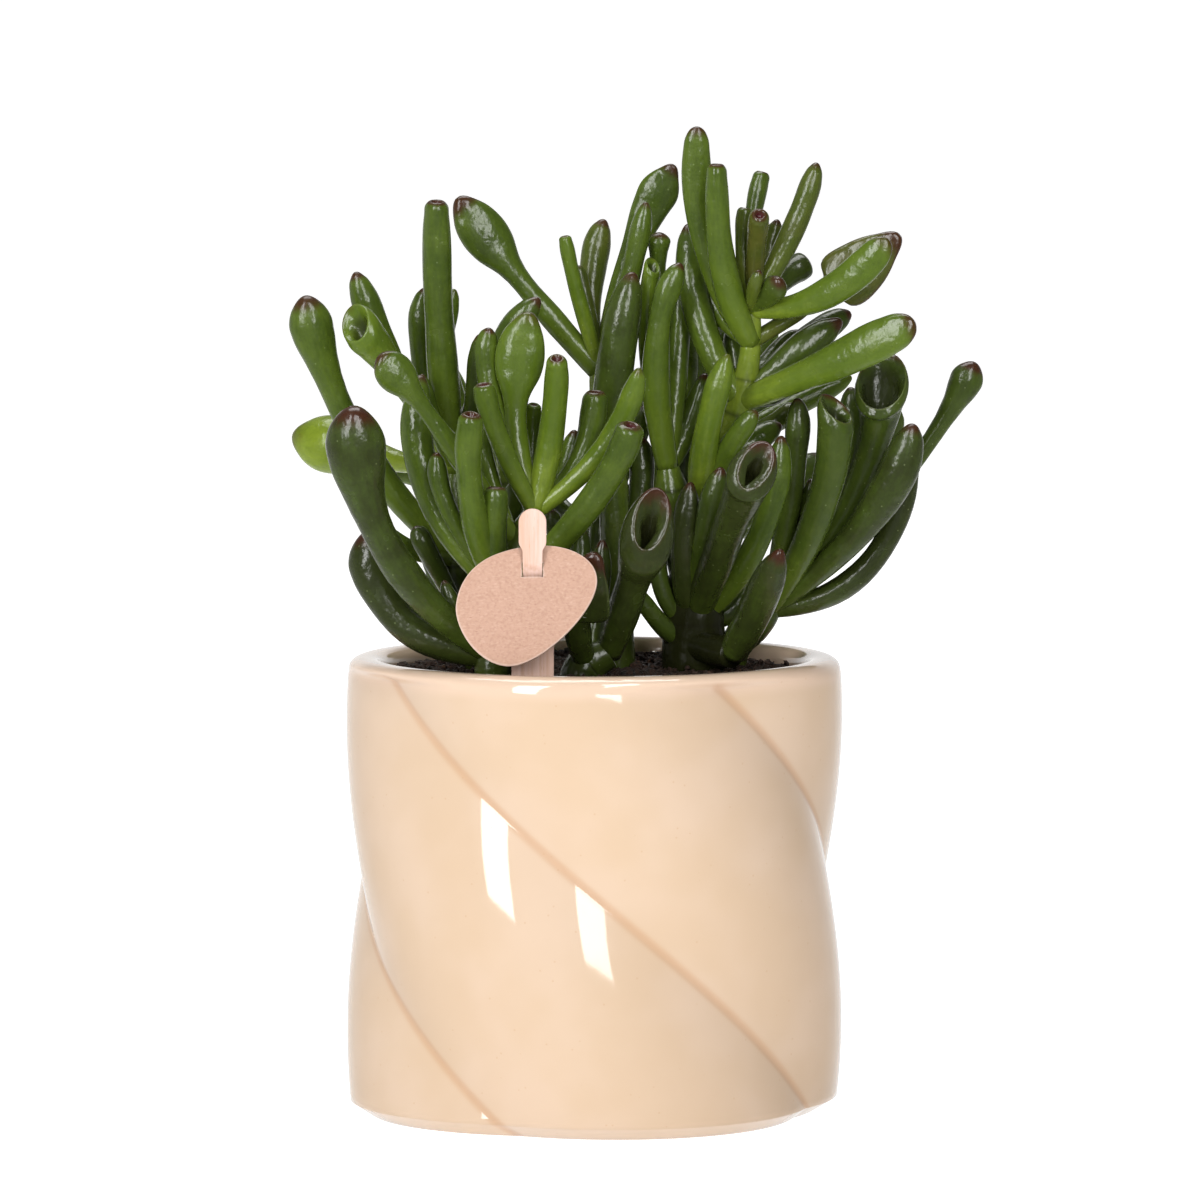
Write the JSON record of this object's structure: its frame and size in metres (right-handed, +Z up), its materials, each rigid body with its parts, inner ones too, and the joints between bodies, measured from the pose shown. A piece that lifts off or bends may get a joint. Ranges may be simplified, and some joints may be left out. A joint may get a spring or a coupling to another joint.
{
  "type": "potted succulent",
  "caption": "Trumpet jade succulent with upright tubular leaves in a twisted, cream-glazed round pot, with a wooden pick that carries a blank card tag.",
  "frame": {"origin": "centre of the pot's flat underside", "axes": "+Z up along the pot's axis, -Y towards the front, where the tag hangs"},
  "size_m": [0.1546, 0.1187, 0.2183],
  "materials": {
    "glazed_pot": "glossy cream glaze",
    "soil": "coarse, black-brown potting soil",
    "wood": "plain, pale wood",
    "kraft_card": "matte kraft card",
    "leaf": "glossy, fleshy green leaf with red-brown tips"
  },
  "bodies": {
    "root": {"pot": "glazed_pot", "soil": "soil", "pick": "wood", "tag": "kraft_card", "shoot_front_left": "leaf", "shoot_left": "leaf", "shoot_centre": "leaf", "shoot_right": "leaf", "shoot_far_right": "leaf", "shoot_low_front": "leaf", "shoot_back_left": "leaf", "shoot_back": "leaf", "shoot_back_right": "leaf"}
  },
  "joints": []
}
